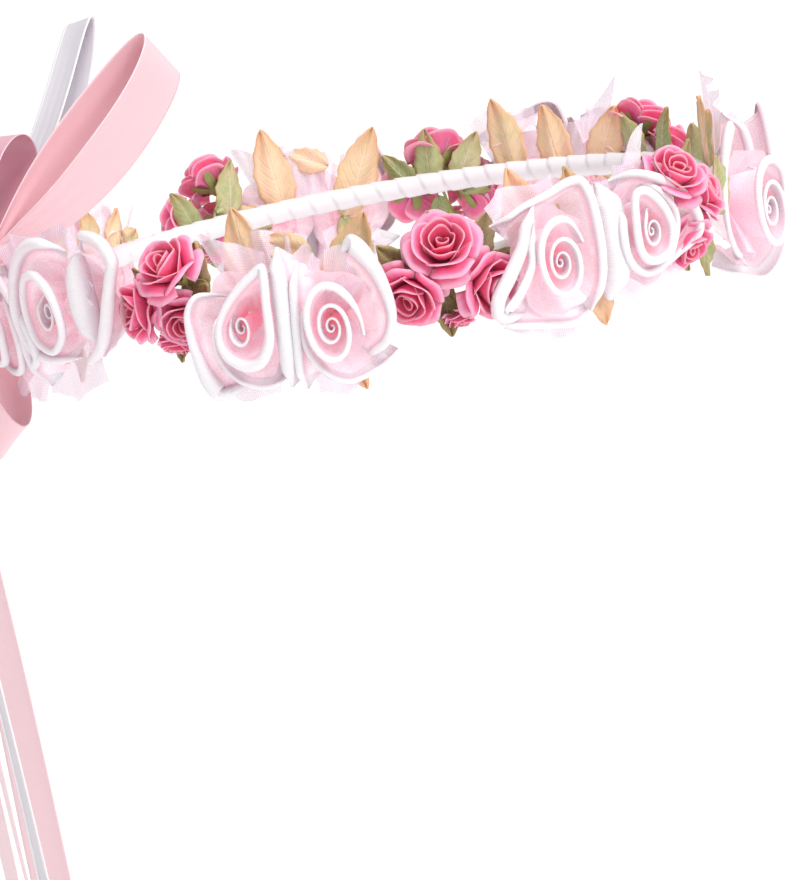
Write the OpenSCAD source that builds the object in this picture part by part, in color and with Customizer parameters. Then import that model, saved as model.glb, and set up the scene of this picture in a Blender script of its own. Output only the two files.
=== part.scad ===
// Flower crown: a satin-wrapped wire ring with seven pairs of ribbon roses, organza
// frills, paper leaves, six sprays of paper rosebuds, a ribbon bow and five hanging tails.
// Millimetres, +Z up, forehead towards -Y, bow at +Y. Origin at the ring's centre.

/* [Ring] */
// Half length of the ring, front to back, on the wire's centre line
ring_a = 99; // [90:1:108]
// Half width of the ring, side to side, on the wire's centre line
ring_b = 80; // [74:1:84]
// Radius of the tighter arcs at the forehead and at the back
end_r = 66; // [60:1:70]
// Radius of the steel wire
wire_r = 1.0; // [0.8:0.1:1.3]
// Outer radius of the satin wrapping
wrap_r = 3.5; // [3:0.1:3.6]

/* [Satin roses] */
// Distance along the ring between the two roses of a pair
rose_gap = 23; // [22:0.5:26]
// Radius of a rose at its face
rose_r = 12.6; // [10:0.1:12.8]
// Height of a rose over its width
rose_tall = 1.42; // [1.2:0.02:1.5]
// Depth of a rose, from its base to its rim
rose_depth = 17; // [12:0.5:18]

/* [Organza frills and leaves] */
// Half width of a frill along the ring
frill_half = 11.4; // [9:0.2:11.6]
// Reach of a frill above and below the ring
frill_reach = 27; // [20:1:29]
// Length of a leaf behind a rose pair
leaf_len = 31; // [22:1:34]
// Width of a leaf
leaf_w = 12; // [8:0.5:13]

/* [Paper rosebuds] */
// Radius of an open paper rosebud
bud_r = 7.4; // [5:0.1:7.5]
// Depth of a paper rosebud
bud_depth = 9.5; // [7:0.5:12]

/* [Bow] */
// Radius of the bow's knot
knot_r = 12; // [10:0.5:12.5]
// Width of the wide pink ribbon
ribbon_w = 22; // [16:1:24]
// Width of the white loops
white_w = 16; // [12:1:18]
// Thickness of the ribbon as modelled
ribbon_t = 1.2; // [1:0.1:1.6]

/* [Tails] */
// Length of a tail below its hinge
tail_len = 390; // [250:10:450]
// Sideways pitch between neighbouring tails
tail_pitch = 22; // [21:0.5:24]

/* [Part] */
// Which sub-part to draw

/* [Hidden] */
$fn = 48;
PAIRS = 7;
gap = 0.2;
// Four-arc oval: two end arcs of end_r and two side arcs of side_r
end_c = ring_a - end_r;
side_r = (end_c * end_c + ring_b * ring_b - end_r * end_r) / (2 * (ring_b - end_r));
side_c = side_r - ring_b;
phi = atan2(end_c, side_c);
end_len = end_r * (90 - phi) * PI / 180;
side_len = side_r * phi * PI / 180;
perimeter = 4 * (end_len + side_len);
pitch = perimeter / PAIRS;
frill_x = wrap_r + gap;
rose_x = frill_x + 1 + gap;
knot_y = 124;
knot_z = 5;
hinge_z = -16;
// Half the angle of the hairline joint where two arcs of the ring meet
butt = 0.01;
dish = 5;
leaf_t = 0.8;

// ---- positions along the ring -------------------------------------------------------
// Angle of the outward direction at a distance along the ring from the front centre
function arc_angle(d) =
    d <= end_len ? d / end_r * 180 / PI :
    d <= end_len + 2 * side_len ? 90 - phi + (d - end_len) / side_r * 180 / PI :
    90 + phi + (d - end_len - 2 * side_len) / end_r * 180 / PI;
function ring_angle(d) = sign(d) * arc_angle(abs(d));
// Point of the centre line where the outward direction has turned by this angle
function half_point(a) =
    a <= 90 - phi ? [-end_r * sin(a), -end_c - end_r * cos(a)] :
    a <= 90 + phi ? [side_c - side_r * sin(a), -side_r * cos(a)] :
    [-end_r * sin(a), end_c - end_r * cos(a)];
function ring_point(a) = a >= 0 ? half_point(a) : [-half_point(-a)[0], half_point(-a)[1]];
// Distance of rose pair i from the front, and of bud spray j
function pair_at(i) = ((PAIRS + 1) / 2 - i) * pitch;
function spray_at(j) = (PAIRS / 2 - j) * pitch;

// Puts its children at a distance along the ring: local +X outward, +Z up
module at_ring(d) {
    a = ring_angle(d);
    p = ring_point(a);
    translate([p[0], p[1], 0])
        rotate([0, 0, -90 - a])
            children();
}

// A straight rod between two points
module rod(p, q, r) {
    v = q - p;
    translate(p)
        rotate([0, acos(v[2] / norm(v)), atan2(v[1], v[0])])
            cylinder(r = r, h = norm(v));
}

// ---- ring ---------------------------------------------------------------------------
// Sweeps a round or hollow section round the four arcs of the oval, which butt end to end
module oval_sweep(r_out, r_in) {
    for (s = [0, 180]) {
        rotate([0, 0, s])
            translate([0, end_c, 0])
                rotate([0, 0, phi + butt])
                    rotate_extrude(angle = 180 - 2 * phi - 2 * butt)
                        ring_section(end_r, r_out, r_in);
        rotate([0, 0, s])
            translate([-side_c, 0, 0])
                rotate([0, 0, -phi + butt])
                    rotate_extrude(angle = 2 * phi - 2 * butt)
                        ring_section(side_r, r_out, r_in);
    }
}

module ring_section(at, r_out, r_in) {
    translate([at, 0])
        difference() {
            circle(r = r_out);
            if (r_in > 0) circle(r = r_in);
        }
}

module ring_wire() {
    color([0.62, 0.63, 0.65])
        oval_sweep(wire_r, 0);
}

module ring_wrap() {
    color([0.96, 0.94, 0.94])
        oval_sweep(wrap_r, wire_r + 0.05);
}

// ---- satin roses and their frills ----------------------------------------------------
// A rolled ribbon rose: an oval cup that widens to its face, dished round a rolled centre
module rose_solid() {
    flare = 1.5;
    translate([rose_x, 0, 0])
        rotate([90, 0, 90]) {
            difference() {
                linear_extrude(height = rose_depth, scale = flare)
                    polygon([for (a = [0:15:345])
                        [rose_r / flare * cos(a), rose_r / flare * rose_tall * sin(a)]]);
                translate([0, 0, rose_depth - dish])
                    cylinder(r1 = 4.4, r2 = rose_r * 0.82, h = dish + 0.01);
            }
            translate([0, 0, rose_depth - dish - 1])
                cylinder(r1 = 4, r2 = 2.6, h = dish + 0.4);
        }
}

module rose(i, side) {
    color([0.97, 0.80, 0.85])
        at_ring(pair_at(i) + side * rose_gap / 2)
            rose_solid();
}

// The gathered organza between a rose pair and the ring: one lobed plate behind each rose
function lobe(a) = 0.86 + 0.14 * cos(6 * a);

module frill(i) {
    color([0.98, 0.86, 0.90])
        for (side = [-1, 1])
            at_ring(pair_at(i) + side * rose_gap / 2)
                translate([frill_x, 0, 0])
                    rotate([90, 0, 90])
                        linear_extrude(height = 1)
                            polygon([for (a = [0:10:350])
                                [frill_half * lobe(a) * cos(a), frill_reach * lobe(a) * sin(a)]]);
}

// A pointed leaf in the local YZ plane, rooted at the ring and leaning by an angle
function leaf_half(t) = sin(180 * pow(t, 0.8));

module leaf(out, along, root_z, lean, size) {
    len = leaf_len * size;
    half = leaf_w * size / 2;
    translate([out, along, root_z])
        rotate([lean, 0, 0])
            rotate([90, 0, 90])
                linear_extrude(height = leaf_t)
                    polygon(concat(
                        [for (t = [0:0.1:1]) [half * leaf_half(t), len * t]],
                        [for (t = [0.9:-0.1:0.1]) [-half * leaf_half(t), len * t]]
                    ));
}

// Three leaves stand up behind a pair and one hangs down; their order turns about in
// every second pair
module leaf_set(i) {
    turn = (i % 2 == 0) ? 1 : -1;
    reach = rose_gap / 2;
    color([0.85, 0.72, 0.55]) {
        at_ring(pair_at(i) - turn * reach)
            leaf(1.2, 3 * turn, 3.7, -9 * turn, 1);
        at_ring(pair_at(i))
            leaf(1.2, 0, 3.7, 3 * turn, 0.92);
        at_ring(pair_at(i) + turn * reach) {
            leaf(1.2, -3 * turn, 3.7, 10 * turn, 0.96);
            leaf(1.2, 2 * turn, -3.7, 180 - 12 * turn, 0.8);
        }
    }
}

// ---- paper rosebuds ------------------------------------------------------------------
// Where the buds of a spray sit: along the ring, height, lean along, lean up, size
BUDS = [[0.5, 8.3, 2, 22, 1], [-8.8, -4.8, -14, -12, 1], [8.8, -4.8, 14, -8, 1],
        [0.5, -15.5, 0, -35, 0.45]];
bud_x = 9.5;

// Puts its children at bud number n of a spray: local +Z along the bud
module at_bud(n, turn) {
    translate([bud_x, BUDS[n][0] * turn, BUDS[n][1]])
        rotate([0, 0, BUDS[n][2] * turn])
            rotate([0, 90 - BUDS[n][3], 0])
                children();
}

module bud_solid(size) {
    r = bud_r * size;
    h = bud_depth * size;
    rotate_extrude()
        polygon([
            [0, 0],
            [r * 0.35, 0],
            [r * 0.82, h * 0.3],
            [r, h * 0.72],
            [r * 0.92, h * 0.9],
            [r * 0.5, h],
            [r * 0.2, h * 0.86],
            [0, h * 0.84]
        ]);
}

module bud_set(j) {
    turn = (j % 2 == 0) ? 1 : -1;
    color([0.93, 0.35, 0.55])
        at_ring(spray_at(j))
            for (n = [0:3])
                at_bud(n, turn)
                    bud_solid(BUDS[n][4]);
}

// A stem wire from the ring to each bud, and the green cup under the bud
module stem_set(j) {
    turn = (j % 2 == 0) ? 1 : -1;
    root = wrap_r + 0.9;
    color([0.45, 0.50, 0.28])
        at_ring(spray_at(j))
            for (n = [0:3]) {
                a = BUDS[n][1] > 0 ? 40 : -40;
                r_top = 3.3 * max(0.5, BUDS[n][4]);
                top = [bud_x - 3.2, BUDS[n][0] * turn, BUDS[n][1] * 0.96];
                foot = [root * cos(a), BUDS[n][0] * turn * 0.7, root * sin(a)];
                rod(foot, top, 0.5);
                at_bud(n, turn)
                    translate([0, 0, -3.6])
                        cylinder(r1 = 0.9, r2 = r_top * 0.75, h = 3.6 - gap);
            }
}

module sprig(j) {
    turn = (j % 2 == 0) ? 1 : -1;
    color([0.55, 0.52, 0.33])
        at_ring(spray_at(j)) {
            leaf(-2, 9 * turn, 3.7, -14 * turn, 0.62);
            leaf(-2, -8 * turn, 3.7, 12 * turn, 0.7);
            leaf(-2, 2 * turn, -3.7, 180 + 14 * turn, 0.55);
        }
}

// ---- bow -------------------------------------------------------------------------------
// The path of one loop, from the knot out and back, as a share t of its length
function loop_mid(t, len, fat) =
    [len * (1 - cos(360 * t)) / 2, fat * sin(360 * t) * (0.45 + 0.55 * sin(180 * t))];
function loop_turn(t, len, fat) =
    let (v = loop_mid(t + 0.005, len, fat) - loop_mid(t - 0.005, len, fat))
    [-v[1], v[0]] / norm(v);
function loop_edge(t, len, fat, off) = loop_mid(t, len, fat) + off * loop_turn(t, len, fat);

// A loop of ribbon reaching from the knot to a tip, with its pinched neck
module bow_loop(tip, fat, wide, roll) {
    from = [0, knot_y, knot_z];
    v = tip - from;
    neck = knot_r + 12;
    len = norm(v) - neck;
    translate(from)
        rotate([0, 0, atan2(v[1], v[0])])
            rotate([0, -asin(v[2] / norm(v)), 0])
                rotate([roll, 0, 0]) {
                    translate([neck, wide / 2, 0])
                        rotate([90, 0, 0])
                            linear_extrude(height = wide)
                                polygon(concat(
                                    [for (t = [0.02:0.04:0.98]) loop_edge(t, len, fat, 0)],
                                    [for (t = [0.98:-0.04:0.02]) loop_edge(t, len, fat, ribbon_t)]
                                ));
                    translate([knot_r + gap, 0, 0])
                        rotate([0, 90, 0])
                            cylinder(r = 2.6, h = 15);
                }
}

module bow_wire() {
    color([0.62, 0.63, 0.65])
        rod([0, ring_a + wrap_r + gap, 0], [0, knot_y - knot_r, knot_z - 2], 1.6);
}

module bow_ribbon_1() {
    color([0.96, 0.66, 0.73]) {
        bow_loop([24, 52, 69], 15, ribbon_w, -22);
        bow_loop([-36, 112, -49], 10, ribbon_w * 0.8, 0);
    }
}

module bow_ribbon_2() {
    color([0.90, 0.88, 0.92]) {
        bow_loop([52, 73, 94], 11, white_w, 0);
        bow_loop([-60, 138, 74], 12, white_w, 0);
    }
}

module bow_ribbon_3() {
    color([0.90, 0.58, 0.66]) {
        bow_loop([72, 107, 58], 12, ribbon_w, 80);
        bow_loop([-84, 140, 14], 13, ribbon_w, 80);
    }
}

module bow_knot() {
    color([0.97, 0.70, 0.76])
        translate([0, knot_y, knot_z])
            sphere(r = knot_r);
}

// ---- tails -----------------------------------------------------------------------------
// Each tail: distance behind the ring's centre, and its share of the wide ribbon's width
TAILS = [[135.5, 0.55], [135.3, 0.93], [143.5, 0.93], [149, 0.93], [140, 0.75]];
top_share = 0.22;
top_half = 1.6;
fan = 48;
notch = 9;
function tail_x(n) = (n - 2) * tail_pitch;

module tail_tops() {
    color([0.97, 0.78, 0.83])
        for (n = [0:4])
            rod([tail_x(n) * 0.16, knot_y + knot_r * 0.78 + 0.5, knot_z - knot_r * 0.72],
                [tail_x(n) * top_share, TAILS[n][0], hinge_z + 1.6], 1.1);
}

// A tail: gathered at its hinge, fanning out to full width, straight down to a notched end
module tail(n) {
    half = ribbon_w * TAILS[n][1] / 2;
    x0 = tail_x(n) * top_share;
    x1 = tail_x(n);
    translate([0, TAILS[n][0] + ribbon_t / 2, hinge_z])
        rotate([90, 0, 0])
            linear_extrude(height = ribbon_t)
                polygon([
                    [x0 - top_half, 0],
                    [x1 - half, -fan],
                    [x1 - half, -tail_len],
                    [x1, -tail_len + notch],
                    [x1 + half, -tail_len],
                    [x1 + half, -fan],
                    [x0 + top_half, 0]
                ]);
}

// ---- assembly -------------------------------------------------------------------------
ring_wire();
ring_wrap();
rose(1, 1);  // rose_1a
rose(1, -1);  // rose_1b
rose(2, 1);  // rose_2a
rose(2, -1);  // rose_2b
rose(3, 1);  // rose_3a
rose(3, -1);  // rose_3b
rose(4, 1);  // rose_4a
rose(4, -1);  // rose_4b
rose(5, 1);  // rose_5a
rose(5, -1);  // rose_5b
rose(6, 1);  // rose_6a
rose(6, -1);  // rose_6b
rose(7, 1);  // rose_7a
rose(7, -1);  // rose_7b
frill(1);  // frill_1
frill(2);  // frill_2
frill(3);  // frill_3
frill(4);  // frill_4
frill(5);  // frill_5
frill(6);  // frill_6
frill(7);  // frill_7
leaf_set(1);  // leaves_1
leaf_set(2);  // leaves_2
leaf_set(3);  // leaves_3
leaf_set(4);  // leaves_4
leaf_set(5);  // leaves_5
leaf_set(6);  // leaves_6
leaf_set(7);  // leaves_7
bud_set(1);  // buds_1
bud_set(2);  // buds_2
bud_set(3);  // buds_3
bud_set(4);  // buds_4
bud_set(5);  // buds_5
bud_set(6);  // buds_6
stem_set(1);  // stems_1
stem_set(2);  // stems_2
stem_set(3);  // stems_3
stem_set(4);  // stems_4
stem_set(5);  // stems_5
stem_set(6);  // stems_6
sprig(1);  // sprig_1
sprig(2);  // sprig_2
sprig(3);  // sprig_3
sprig(4);  // sprig_4
sprig(5);  // sprig_5
sprig(6);  // sprig_6
bow_wire();
bow_ribbon_1();
bow_ribbon_2();
bow_ribbon_3();
bow_knot();
tail_tops();
color([0.90, 0.88, 0.92]) tail(0);  // tail_1
color([0.96, 0.66, 0.73]) tail(1);  // tail_2
color([0.96, 0.66, 0.73]) tail(2);  // tail_3
color([0.96, 0.66, 0.73]) tail(3);  // tail_4
color([0.90, 0.88, 0.92]) tail(4);  // tail_5
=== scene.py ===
import math

import bmesh
import bpy
import numpy as np
from bpy.props import FloatProperty, FloatVectorProperty, IntProperty, PointerProperty
from mathutils import Matrix, Vector


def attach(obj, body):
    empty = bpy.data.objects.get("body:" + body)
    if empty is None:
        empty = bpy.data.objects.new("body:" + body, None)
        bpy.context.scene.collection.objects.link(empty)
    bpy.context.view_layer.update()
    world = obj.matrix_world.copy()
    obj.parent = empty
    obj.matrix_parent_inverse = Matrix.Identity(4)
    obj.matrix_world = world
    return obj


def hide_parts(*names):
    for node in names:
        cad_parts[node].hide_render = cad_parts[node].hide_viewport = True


bl_info = {
    "name": "Flower crown",
    "version": (1, 0, 0),
    "blender": (4, 5, 0),
    "location": "View3D > Sidebar > Crown",
    "description": "Builds the looks of a ribbon flower crown on its packed frame",
    "category": "Add Mesh",
}

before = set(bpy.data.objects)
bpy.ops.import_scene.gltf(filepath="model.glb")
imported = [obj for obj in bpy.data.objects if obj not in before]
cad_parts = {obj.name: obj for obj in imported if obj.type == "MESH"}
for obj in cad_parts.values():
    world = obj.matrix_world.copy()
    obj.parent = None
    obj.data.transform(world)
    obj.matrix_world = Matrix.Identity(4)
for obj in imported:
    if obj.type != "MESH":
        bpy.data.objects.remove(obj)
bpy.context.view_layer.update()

# ---- the oval ring, in millimetres, as in the CAD --------------------------------------
END_R = 66.0
END_C = 99.0 - END_R
SIDE_R = (END_C**2 + 80.0**2 - END_R**2) / (2 * (80.0 - END_R))
SIDE_C = SIDE_R - 80.0
PHI = math.atan2(END_C, SIDE_C)
END_LEN = END_R * (math.pi / 2 - PHI)
SIDE_LEN = SIDE_R * PHI

# Pairs of roses are numbered round the ring, and FRONT is the one at its front. Its roses are
# larger, and their rolled edges thinner. The sprays of buds sit between the pairs.
PAIR_COUNT, SPRAY_COUNT, FRONT = 7, 6, 4
PITCH = 4 * (END_LEN + SIDE_LEN) / PAIR_COUNT
ROSE_GAP = 23.0
FRONT_SIZE, FRONT_LIP = 1.2, 0.55
KNOT = np.array([0.0, 124.0, 5.0])
HINGE_Z, TAIL_LENGTH = -16, 389
RIBBON_THICK, LEAF_THICK, PETAL_THICK = 0.3, 0.35, 0.22
ARC_ROWS = 11

# The stage, in metres: floor height and half its side; the camera's turn, height and roll in
# degrees, its distance, the point it looks at, and its lens and sensor in millimetres
FLOOR_Z, FLOOR_HALF = -0.42, 60
CAM_TURN, CAM_HEIGHT, CAM_ROLL, CAM_DISTANCE = -87.5, 9.15, -10.8, 0.9
CAM_AIM, CAM_LENS, CAM_SENSOR = (0, 0.00265, -0.0637), 123.340909, 36.0


def ring_angle(d):
    """Turn of the outward direction at distance d from the front centre: d/END_R on the end
    arcs and (d - END_LEN)/SIDE_R on the side arc, added up along the way."""
    s, a = np.sign(d), np.abs(d)
    far = math.pi / 2 + PHI + (a - END_LEN - 2 * SIDE_LEN) / END_R
    mid = math.pi / 2 - PHI + (a - END_LEN) / SIDE_R
    return s * np.where(a <= END_LEN, a / END_R, np.where(a <= END_LEN + 2 * SIDE_LEN, mid, far))


def ring_point(a):
    """Point of the centre line at turn a: arc centre minus radius times (sin a, cos a)."""
    s, b = np.where(a < 0, -1.0, 1.0), np.abs(a)
    side = np.abs(b - math.pi / 2) <= PHI
    r = np.where(side, SIDE_R, END_R)
    cx = np.where(side, SIDE_C, 0.0)
    cy = np.where(side, 0.0, np.where(b < math.pi / 2, -END_C, END_C))
    return np.stack([s * (cx - r * np.sin(b)), cy - r * np.cos(b)], -1)


def at_ring(p, d):
    """Local (along, up, out) to the crown's frame: ring point + out*n + along*t, z = up."""
    a = float(ring_angle(d))
    c = ring_point(np.array(a))
    n = np.array([-math.sin(a), -math.cos(a)])
    t = np.array([math.cos(a), -math.sin(a)])
    xy = c + p[..., 2:3] * n + p[..., 0:1] * t
    return np.concatenate([xy, p[..., 1:2]], -1)


def placed(grids, d):
    """Moves grids from their local place to distance d along the ring, and returns them."""
    for g in grids:
        g["p"] = at_ring(g["p"], d)
    return grids


def pair_at(i):
    return (FRONT - i) * PITCH


def spray_at(j):
    return (FRONT - 0.5 - j) * PITCH


def spray_design(j):
    """Design number and mirror of a spray: 1, 2, 3, then the same ones mirrored."""
    return (j, 1) if j < FRONT else (PAIR_COUNT - j, -1)


# ---- paths and grids -------------------------------------------------------------------
def smooth_path(points, n, closed=False):
    """Catmull-Rom curve through the control rows, resampled to n rows at equal arc length:
    p = ((2P1) + (P2-P0)t + (2P0-5P1+4P2-P3)t^2 + (3P1-P0-3P2+P3)t^3) / 2."""
    c = np.asarray(points, float)
    if closed:
        c = np.vstack([c[-1:], c, c[:2]])
    else:
        c = np.vstack([2 * c[:1] - c[1:2], c, 2 * c[-1:] - c[-2:-1]])
    k = len(c) - 3
    t = np.linspace(0, k, 24 * k + 1)
    i = np.minimum(t.astype(int), k - 1)
    f = (t - i)[:, None]
    p0, p1, p2, p3 = c[i], c[i + 1], c[i + 2], c[i + 3]
    q = 0.5 * (2 * p1 + (p2 - p0) * f + (2 * p0 - 5 * p1 + 4 * p2 - p3) * f**2
               + (3 * p1 - p0 - 3 * p2 + p3) * f**3)
    m = min(3, q.shape[1])
    s = np.concatenate([[0], np.cumsum(np.linalg.norm(np.diff(q[:, :m], axis=0), axis=1))])
    return resample(q, s, n + 1 if closed else n)[: n]


def resample(q, s, n):
    """Rows of q at n equal steps of the running length s."""
    at = np.linspace(0, s[-1], n)
    return np.stack([np.interp(at, s, q[:, k]) for k in range(q.shape[1])], -1)


def running(p):
    """Running length along the rows of p."""
    return np.concatenate([[0], np.cumsum(np.linalg.norm(np.diff(p, axis=0), axis=1))])


def unit(v):
    return v / np.maximum(np.linalg.norm(v, axis=-1, keepdims=True), 1e-9)


def ease(x):
    x = np.clip(x, 0, 1)
    return x * x * (3 - 2 * x)


def corners(a):
    """The four corners of every cell (i, j) of a grid, in order round the cell."""
    return np.stack([a[:-1, :-1], a[1:, :-1], a[1:, 1:], a[:-1, 1:]], 2)


def part(p, uv, blush=0.0, wrap_u=False, wrap_v=False):
    """One grid of points (nu, nv, 3) with its uv (one more row or column where it wraps)."""
    return dict(p=p, uv=uv, blush=np.broadcast_to(blush, p.shape[:2]), wu=wrap_u, wv=wrap_v)


def build(name, parts, mat, replaces, body="crown", thick=0.0, weld=False):
    """Joins grids into one mesh object in metres: each cell (i,j) of a grid is one quad."""
    co, quads, uvs, blush = [], [], [], []
    base = 0
    for g in parts:
        nu, nv = g["p"].shape[:2]
        idx = base + np.arange(nu * nv).reshape(nu, nv)
        if g["wu"]:
            idx = np.concatenate([idx, idx[:1]], 0)
        if g["wv"]:
            idx = np.concatenate([idx, idx[:, :1]], 1)
        u = np.broadcast_to(g["uv"], (idx.shape[0], idx.shape[1], 2))
        quads.append(corners(idx).reshape(-1, 4))
        uvs.append(corners(u).reshape(-1, 2))
        co.append(g["p"].reshape(-1, 3))
        blush.append(np.asarray(g["blush"], float).reshape(-1))
        base += nu * nv
    co, quads, uvs = np.concatenate(co) * 0.001, np.concatenate(quads), np.concatenate(uvs)
    me = bpy.data.meshes.new(name)
    me.from_pydata(co.tolist(), [], quads.tolist())
    me.uv_layers.new(name="UVMap").data.foreach_set("uv", uvs.ravel())
    me.attributes.new("blush", "FLOAT", "POINT").data.foreach_set(
        "value", np.concatenate(blush).astype(np.float32))
    me.materials.append(mat)
    me.polygons.foreach_set("use_smooth", np.ones(len(quads), bool))
    if weld:
        bm = bmesh.new()
        bm.from_mesh(me)
        bmesh.ops.remove_doubles(bm, verts=bm.verts, dist=1e-6)
        bmesh.ops.dissolve_degenerate(bm, edges=bm.edges, dist=1e-7)
        bm.to_mesh(me)
        bm.free()
    me.update()
    ob = bpy.data.objects.new(name, me)
    bpy.context.scene.collection.objects.link(ob)
    if thick:
        mod = ob.modifiers.new("thickness", "SOLIDIFY")
        mod.thickness, mod.offset = thick * 0.001, 0.0
    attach(ob, body)
    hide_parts(replaces)
    return ob


def flat_area(ob):
    """Area of an object's own mesh in square metres, before its modifiers."""
    area = np.empty(len(ob.data.polygons), np.float32)
    ob.data.polygons.foreach_get("area", area)
    return float(area.sum())


def tube(path, radius, nv=12, blush=0.0):
    """Round tube along a path: p + r (cos v * side + sin v * up), closed by end points."""
    path = np.asarray(path, float)
    r = np.broadcast_to(np.asarray(radius, float), (len(path),)).copy()
    t = unit(np.gradient(path, axis=0))
    ref = np.array([0.13, 0.21, 0.97]) if abs(t[0, 2]) < 0.9 else np.array([1.0, 0.2, 0.1])
    a = unit(np.cross(t, ref))
    b = np.cross(t, a)
    path, a, b = (np.vstack([x[:1], x, x[-1:]]) for x in (path, a, b))
    r = np.r_[0, r, 0]
    v = np.linspace(0, 2 * math.pi, nv, endpoint=False)
    p = path[:, None] + r[:, None, None] * (np.cos(v)[None, :, None] * a[:, None]
                                            + np.sin(v)[None, :, None] * b[:, None])
    uv = np.stack(np.meshgrid(running(path), np.linspace(0, 1, nv + 1), indexing="ij"), -1)
    return part(p, uv, blush, wrap_v=True)


# ---- the ribbon of a rose --------------------------------------------------------------
def rolled(points, n, axis, base=5.0, squeeze=0.45, closed=False, heart=4.4, ruffle=0.35,
           seat=-1.0, tuck=3.2):
    """A ribbon standing on edge round an axis. Its front edge E(s) is rolled outward:
    E + lip(seat + cos q) N + lip(sin q - 1) out for q from -50 to 180 degrees; then its
    wall runs back to the base while it draws in towards the axis by the squeeze share.
    Its pink deepens as exp(-(r/heart)^2) towards the axis, and with depth: painted shade in
    the hollows of the rose. Its rolled edge is painted white along the crest as a highlight
    and lilac on its sides as shade. Both ends of an open strip sink by tuck
    (1 - ease(s / 6)) and get thinner there."""
    e = smooth_path(points, n, closed)
    if not closed and tuck:
        run = running(e[:, :2])
        full = ease(np.minimum(run, run[-1] - run) / 6.0)
        e[:, 2] -= tuck * (1 - full)
        e[:, 3] *= 0.35 + 0.65 * full
    lip = np.maximum(e[:, 3], 0.25)[:, None]
    flat = e[:, :2]
    t = np.gradient(np.vstack([flat[-1:], flat, flat[:1]]), axis=0)[1:-1] if closed \
        else np.gradient(flat, axis=0)
    t = unit(t)
    nrm = np.stack([t[:, 1], -t[:, 0]], -1)
    axis = np.asarray(axis, float)
    out = flat - axis
    if (nrm * out).sum() < 0:
        nrm = -nrm
    s = running(flat)
    q = np.radians(np.linspace(-50, 180, ARC_ROWS))[None, :]
    w = np.linspace(0, 1, 8)[None, 1:]
    n_arc = lip * (seat + np.cos(q))
    h_arc = e[:, 2:3] + lip * (np.sin(q) - 1)
    share = np.linspace(0, 1, ARC_ROWS)[None, :]
    v_arc = np.minimum(lip * 4.0, 4.0) * share
    top = e[:, 2:3] - lip
    h_wall = top - (top - base) * w
    v_wall = v_arc[:, -1:] + (top - base) * w
    wave = ruffle * np.sin(s[:, None] * 0.75 + 4 * w) * w * (1.2 - w) * 3
    lat_arc = flat[:, None] + n_arc[..., None] * nrm[:, None]
    pull = squeeze * (w**0.8)
    lat_wall = axis + (flat - axis)[:, None] * (1 - pull)[..., None] \
        + (wave + lip * (seat - 1) * (1 - w))[..., None] * nrm[:, None]
    lat = np.concatenate([lat_arc, lat_wall], 1)
    h = np.concatenate([h_arc, h_wall], 1)
    v = np.concatenate([v_arc, v_wall], 1)
    p = np.concatenate([lat, h[..., None]], -1)
    deep = np.concatenate([np.zeros_like(v_arc), np.broadcast_to(w, wave.shape)], 1)
    r = np.linalg.norm(lat - axis, axis=-1)
    core = np.exp(-((r / heart) ** 2))
    # Painted shade: the pink deepens down the wall and towards the heart hollow.
    blush = np.clip(core * (0.25 + 1.1 * deep**0.5) + 0.12 * deep, 0, 1)
    # Painted highlight and shade: the rolled edge is white along its crest and lilac on its sides.
    blush[:, :ARC_ROWS] = 0.85 * ((share - 0.56) / 0.5) ** 2
    ss = np.r_[s, s[-1] + (s[1] - s[0])] if closed else s
    vv = np.concatenate([v, v[:1]], 0) if closed else v
    uv = np.stack([np.broadcast_to(ss[:, None], vv.shape), vv], -1)
    return part(p, uv, blush, wrap_u=closed)


def spiral(centre, turns, grow, tall, h0, h1, lip, start=0.4, hand=1):
    """Control rows of a rolled centre: r = 0.4 + grow0 T + grow1 T^2 at T turns, made
    taller by the share tall as it opens, with its edge rising from h0 to h1."""
    tt = np.linspace(0, turns, int(16 * turns) + 2)
    r = 0.4 + grow[0] * tt + grow[1] * tt**2
    a = hand * 2 * math.pi * (tt + start)
    z = 1.2 + (tall - 1.2) * (tt / turns) ** 0.8
    wob = 1 + 0.06 * np.sin(2.1 * a + 0.5) * np.minimum(tt, 1)
    f = tt / turns
    tail = ease((tt - turns + 0.22) / 0.22)
    return np.stack([centre[0] + r * wob * np.cos(a), centre[1] + r * wob * z * np.sin(a),
                     h0 + (h1 - h0) * f - 4 * tail,
                     (lip[0] + (lip[1] - lip[0]) * f**2.6) * (1 - 0.7 * tail)], -1)


def flip_rows(rows, m):
    """Mirrors control rows left to right where m is -1."""
    out = np.array(rows, float)
    out[:, 0] *= m
    return out


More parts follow.
